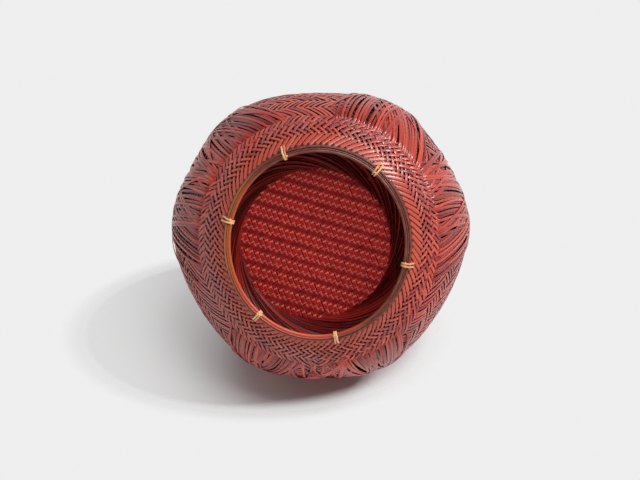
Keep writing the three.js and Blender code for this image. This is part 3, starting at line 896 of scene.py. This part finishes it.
# the section's corners are eased, then it is spun round the axis
def spinHoop(name, hoop):
    mesh = bpy.data.meshes.new(name)
    corners = [(r, 0.0, z) for r, z in hoop["corners"]]
    mesh.from_pydata(corners, [], [tuple(range(len(corners)))])
    piece = bpy.data.objects.new(name, mesh)
    bpy.context.collection.objects.link(piece)
    bpy.context.view_layer.objects.active = piece
    piece.select_set(True)
    bpy.ops.object.mode_set(mode="EDIT")
    bpy.ops.mesh.select_all(action="SELECT")
    bpy.ops.mesh.bevel(offset=hoop["ease"], segments=hoopForm["segments"], affect="VERTICES")
    bpy.ops.mesh.select_all(action="SELECT")
    bpy.ops.mesh.delete(type="ONLY_FACE")
    bpy.ops.mesh.select_all(action="SELECT")
    bpy.ops.mesh.spin(steps=hoopForm["steps"], angle=2 * math.pi, center=(0, 0, 0), axis=(0, 0, 1))
    bpy.ops.mesh.select_all(action="SELECT")
    bpy.ops.mesh.remove_doubles(threshold=hoopForm["weld"])
    bpy.ops.mesh.normals_make_consistent(inside=False)
    bpy.ops.object.mode_set(mode="OBJECT")
    settle(piece, hoop["finish"], hoop["slot"], hoop["node"], smoothAngle=hoopForm["smoothAngle"])


for hoopName, hoop in hoops.items():
    spinHoop(hoopName, hoop)

# rattan ties: strands looped round the hoops and through the weave, with a cross strand on the foot
footTie = {
    "angles": [130, 69, 14, -49, -101.5, -167.5], "strands": (-0.0011, 0.0011), "fan": 0.7, "swell": 0.0001,
    "width": 0.0021, "thick": 0.0014, "steps": 64, "easing": 3, "smoothAngle": 60.0, "seed": 51,
    "path": [(0.102, 0.01), (0.0993, 0.005), (0.099, 0.0004), (0.1012, -0.001), (0.1046, -0.001),
             (0.107, 0.0), (0.109, 0.0014), (0.1098, 0.0075), (0.1122, 0.0112), (0.1142, 0.0132),
             (0.114, 0.016), (0.11, 0.015), (0.105, 0.013)],
    "knot": {"radius": 0.103, "height": -0.001, "half": 0.0027, "crown": 0.001, "steps": 12,
             "aside": 0.0009, "slant": 0.0012},
    "uneven": {"sway": 0.25, "place": 0.0002, "width": 0.06, "roll": 0.12},
}
mouthTie = dict(
    footTie, angles=[0, 60, 120, 180, 240, 300], strands=(-0.0016, 0.0, 0.0016), fan=0.0,
    width=0.0017, thick=0.001, knot=None, seed=61,
    path=[(0.0861, 0.284), (0.0861, 0.27), (0.0868, 0.2684), (0.089, 0.2682), (0.095, 0.2682),
          (0.0972, 0.2684), (0.0979, 0.27), (0.0979, 0.282), (0.0962, 0.2848), (0.0935, 0.2855),
          (0.0905, 0.2855), (0.0878, 0.285)])
upright = np.array([0, 0, 1.0])


# a smooth closed loop through the points of a path
def closedLoop(tie):
    points = np.array(tie["path"] + tie["path"][:1])
    run = lengthAlong(points)
    s = np.linspace(0.0, run[-1], tie["steps"])
    loop = np.column_stack([np.interp(s, run, points[:, 0]), np.interp(s, run, points[:, 1])])
    for _ in range(tie["easing"]):
        easePoints(loop)
    return loop


def addKnot(bundle, dice, tie, radial, tangent):
    knot = tie["knot"]
    t = np.linspace(-1.0, 1.0, knot["steps"])
    out = knot["radius"] + knot["aside"] * dice.uniform(-1, 1) + knot["slant"] * dice.uniform(-1, 1) * t
    drop = knot["height"] + knot["crown"] * t ** 4
    centre = out[:, None] * radial + knot["half"] * t[:, None] * tangent + drop[:, None] * upright
    normal = np.tile(downward, (len(t), 1))
    addStrip(bundle, centre, normal, tie["width"], tie["thick"], dice.uniform())


def makeTies(prefix, nodePrefix, tie):
    dice = np.random.default_rng(tie["seed"])
    uneven = tie["uneven"]
    loop = closedLoop(tie)
    outward = loop - loop.mean(0)
    run = np.gradient(loop, axis=0)
    facing = np.column_stack([run[:, 1], -run[:, 0]])
    facing *= np.sign((facing * outward).sum(1, keepdims=True))
    phase = np.linspace(0, 2 * math.pi, len(loop))
    fan = 1 + tie["fan"] * (loop[:, 0] - loop[:, 0].min()) / np.ptp(loop[:, 0])  # the strands part outwards
    for n, degrees in enumerate(tie["angles"], 1):
        bundle = newBundle()
        turn = math.radians(degrees)
        radial = np.array([math.cos(turn), math.sin(turn), 0])
        tangent = np.array([-math.sin(turn), math.cos(turn), 0])
        normal = facing[:, :1] * radial + facing[:, 1:] * upright
        for k, shift in enumerate(tie["strands"]):
            sway = shift * (fan + uneven["sway"] * np.sin(phase + anyPhase(dice)))
            sway = sway + dice.normal(0, uneven["place"])
            grown = loop + unit(facing) * (tie["swell"] * k)
            centre = grown[:, :1] * radial + sway[:, None] * tangent + grown[:, 1:] * upright
            width = tie["width"] * (1 + dice.normal(0, uneven["width"]))
            addStrip(bundle, centre, normal, width, tie["thick"], dice.uniform(),
                     dice.normal(0, uneven["roll"]), anySlide(dice))
        if tie["knot"]:
            addKnot(bundle, dice, tie, radial, tangent)
        piece = bundleObject(f"{prefix}_{n}", bundle)
        settle(piece, rattan, "rattan", f"{nodePrefix}_{n}", smoothAngle=tie["smoothAngle"])


makeTies("foot_lashing", "foot_tie", footTie)
makeTies("mouth_lashing", "mouth_tie", mouthTie)

# the foot was bent by hand and is a little oval, less so towards the belly; the mat stays round
oval = {"acrossX": -0.03, "acrossY": 0.02, "low": 0.012, "high": 0.11, "baseHigh": 0.023}


def makeOval(piece):
    points = np.empty(3 * len(piece.data.vertices))
    piece.data.vertices.foreach_get("co", points)
    points = points.reshape(-1, 3)
    high = oval["baseHigh"] if piece.name.startswith("base_") else oval["high"]
    share = smooth((high - points[:, 2]) / (high - oval["low"]))
    points[:, 0] *= 1 + oval["acrossX"] * share
    points[:, 1] *= 1 + oval["acrossY"] * share
    piece.data.vertices.foreach_set("co", points.ravel())
    piece.data.update()


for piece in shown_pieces():
    makeOval(piece)
print("foot made oval")

# the basket lies on its shoulder and rim, so the floor is tipped against it
studio = {
    "restTilt": 41.5, "floorSize": 6.0, "floorColour": (0.8, 0.8, 0.8, 1.0),
    # the floor gives way to the backdrop away from the place it touches, and outside the oval of the shadow
    "contact": (0.0, -0.06, 0.0),
    "contactFade": [(0.1, 0.0), (0.14, 0.25), (0.19, 0.45), (0.25, 0.55), (0.5, 0.6)],
    "shadow": (-0.09, -0.02, 0.0), "shadowScale": (1 / 0.47, 1 / 0.26, 0.0),
    "shadowFade": [(0.44, 0.0), (0.52, 0.72), (0.59, 1.0)],
    "white": (1.0, 1.0, 1.0, 1.0), "backdrop": 0.86, "ambient": 0.45,
    "overhead": 0.12, "roomFade": (0.05, 0.5),  # the room is darker overhead
}
# way from the basket to each lamp: to the right, up and to the front
lamps = {
    "key": {"power": 84.0, "size": 0.8, "way": (0.7, 0.69, -0.19), "reach": 4.0, "glint": True},
    "top": {"power": 66.0, "size": 1.6, "way": (0.25, 0.93, 0.1), "reach": 3.0, "glint": True},
    "fill": {"power": 14.0, "size": 3.0, "way": (-0.85, 0.32, -0.3), "reach": 3.5, "glint": True},
    "under": {"power": 18.0, "size": 2.0, "way": (-0.15, -0.25, 0.95), "reach": 3.0, "glint": False},
}
tilt = math.radians(studio["restTilt"])
floorUp = Vector((0, math.cos(tilt), -math.sin(tilt)))
floorFront = Vector((0, -math.sin(tilt), -math.cos(tilt)))
floorRight = Vector((-1, 0, 0))
middle = Vector((0, 0, wall["bellyHeight"]))


def lowestPoint(piece):
    points = np.array([v.co for v in piece.data.vertices])
    return min(points @ np.array(floorUp))


def makeFloor():
    lowest = min(lowestPoint(piece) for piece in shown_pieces())
    bpy.ops.mesh.primitive_plane_add(size=studio["floorSize"])
    floor = bpy.context.object
    floor.name = "studio_floor"
    turn = Matrix((floorRight, floorUp.cross(floorRight), floorUp)).transposed().to_4x4()
    below = floorUp * lowest + (middle - floorUp * middle.dot(floorUp))
    floor.matrix_world = Matrix.Translation(below) @ turn
    finish = newFinish("studioFloor")
    tree = finish.node_tree
    tree.nodes.remove(tree.nodes["Principled BSDF"])
    place = addNode(tree, "TexCoord").outputs["Object"]
    near = addVector(tree, "DISTANCE", place, studio["contact"])
    shifted = addVector(tree, "SUBTRACT", place, studio["shadow"])
    away = addVector(tree, "LENGTH", addVector(tree, "MULTIPLY", shifted, studio["shadowScale"]))
    nearFade = addRamp(tree, near, *zip(*studio["contactFade"]), "B_SPLINE")
    fade = larger(tree, nearFade, addRamp(tree, away, *zip(*studio["shadowFade"]), "EASE"))
    behind = addNode(tree, "NewGeometry").outputs["Backfacing"]
    rays = addNode(tree, "LightPath").outputs
    hidden = larger(tree, times(tree, fade, rays["Is Camera Ray"]), behind)
    hidden = larger(tree, hidden, rays["Is Shadow Ray"])  # the low lamp shines through from below
    paper = addNode(tree, "BsdfDiffuse", {"Color": studio["floorColour"]}).outputs[0]
    clear = addNode(tree, "BsdfTransparent").outputs[0]
    mixed = addNode(tree, "MixShader", {0: hidden, 1: paper, 2: clear}).outputs[0]
    tree.links.new(mixed, tree.nodes["Material Output"].inputs["Surface"])
    floor.data.materials.append(finish)
    floor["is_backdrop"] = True
    print("floor laid at", round(lowest, 4))


makeFloor()


def makeLamp(name, form):
    right, up, front = form["way"]
    aim = (floorRight * right + floorUp * up + floorFront * front).normalized()
    lamp = bpy.data.lights.new(name, "AREA")
    lamp.energy, lamp.size = form["power"], form["size"]
    holder = bpy.data.objects.new(name, lamp)
    bpy.context.collection.objects.link(holder)
    holder.location = middle + aim * form["reach"]
    holder.rotation_euler = (-aim).to_track_quat("-Z", "Y").to_euler()
    holder.visible_glossy = form["glint"]


for lampName, lampForm in lamps.items():
    makeLamp(lampName + "Light", lampForm)
print("lamps set:", len(lamps))


# a pale backdrop for the eye and for reflections, and a softer light all round
def makeWorld():
    world = bpy.data.worlds.new("studio")
    bpy.context.scene.world = world
    world.use_nodes = True
    tree = world.node_tree
    rays = addNode(tree, "LightPath").outputs
    seen = larger(tree, rays["Is Glossy Ray"], rays["Is Transmission Ray"])
    seen = larger(tree, rays["Is Camera Ray"], seen)
    direction = addNode(tree, "TexCoord").outputs["Generated"]
    height = addVector(tree, "DOT_PRODUCT", direction, floorUp)
    room = addRange(tree, height, studio["roomFade"], (1.0, studio["overhead"]))
    soft = times(tree, room, studio["ambient"])
    mirrored = times(tree, room, studio["backdrop"])
    plain = times(tree, rays["Is Camera Ray"], studio["backdrop"])
    plain = larger(tree, mirrored, plain)
    ambient, backdrop = (
        addNode(tree, "Background", {"Color": studio["white"], "Strength": strength}).outputs[0]
        for strength in (soft, plain))
    both = addNode(tree, "MixShader", {0: seen, 1: ambient, 2: backdrop}).outputs[0]
    tree.links.new(both, tree.nodes["World Output"].inputs["Surface"])


makeWorld()

# camera: looks at the foot from a little above the basket's axis
shot = {
    "distance": 1.18, "rise": 5.6, "swing": 1.45, "aimDown": 0.0085, "aimSide": 0.0006,
    "lens": 52.6, "sensor": 36.0,
}


def makeCamera():
    rise, swing = math.radians(shot["rise"]), math.radians(shot["swing"])
    back = Vector((-math.sin(swing) * math.cos(rise), math.sin(rise), -math.cos(swing) * math.cos(rise)))
    sideways = Vector((0, 1, 0)).cross(back).normalized()
    upward = back.cross(sideways)
    aim = middle - upward * shot["aimDown"] - sideways * shot["aimSide"]
    turn = Matrix((sideways, upward, back)).transposed().to_4x4()
    camera = bpy.data.objects.new("camera", bpy.data.cameras.new("camera"))
    bpy.context.collection.objects.link(camera)
    camera.data.lens = shot["lens"]
    camera.data.sensor_width = shot["sensor"]
    camera.matrix_world = Matrix.Translation(aim + back * shot["distance"]) @ turn
    bpy.context.scene.camera = camera


makeCamera()
bpy.context.scene.view_settings.view_transform = "Standard"
print("world and camera set")
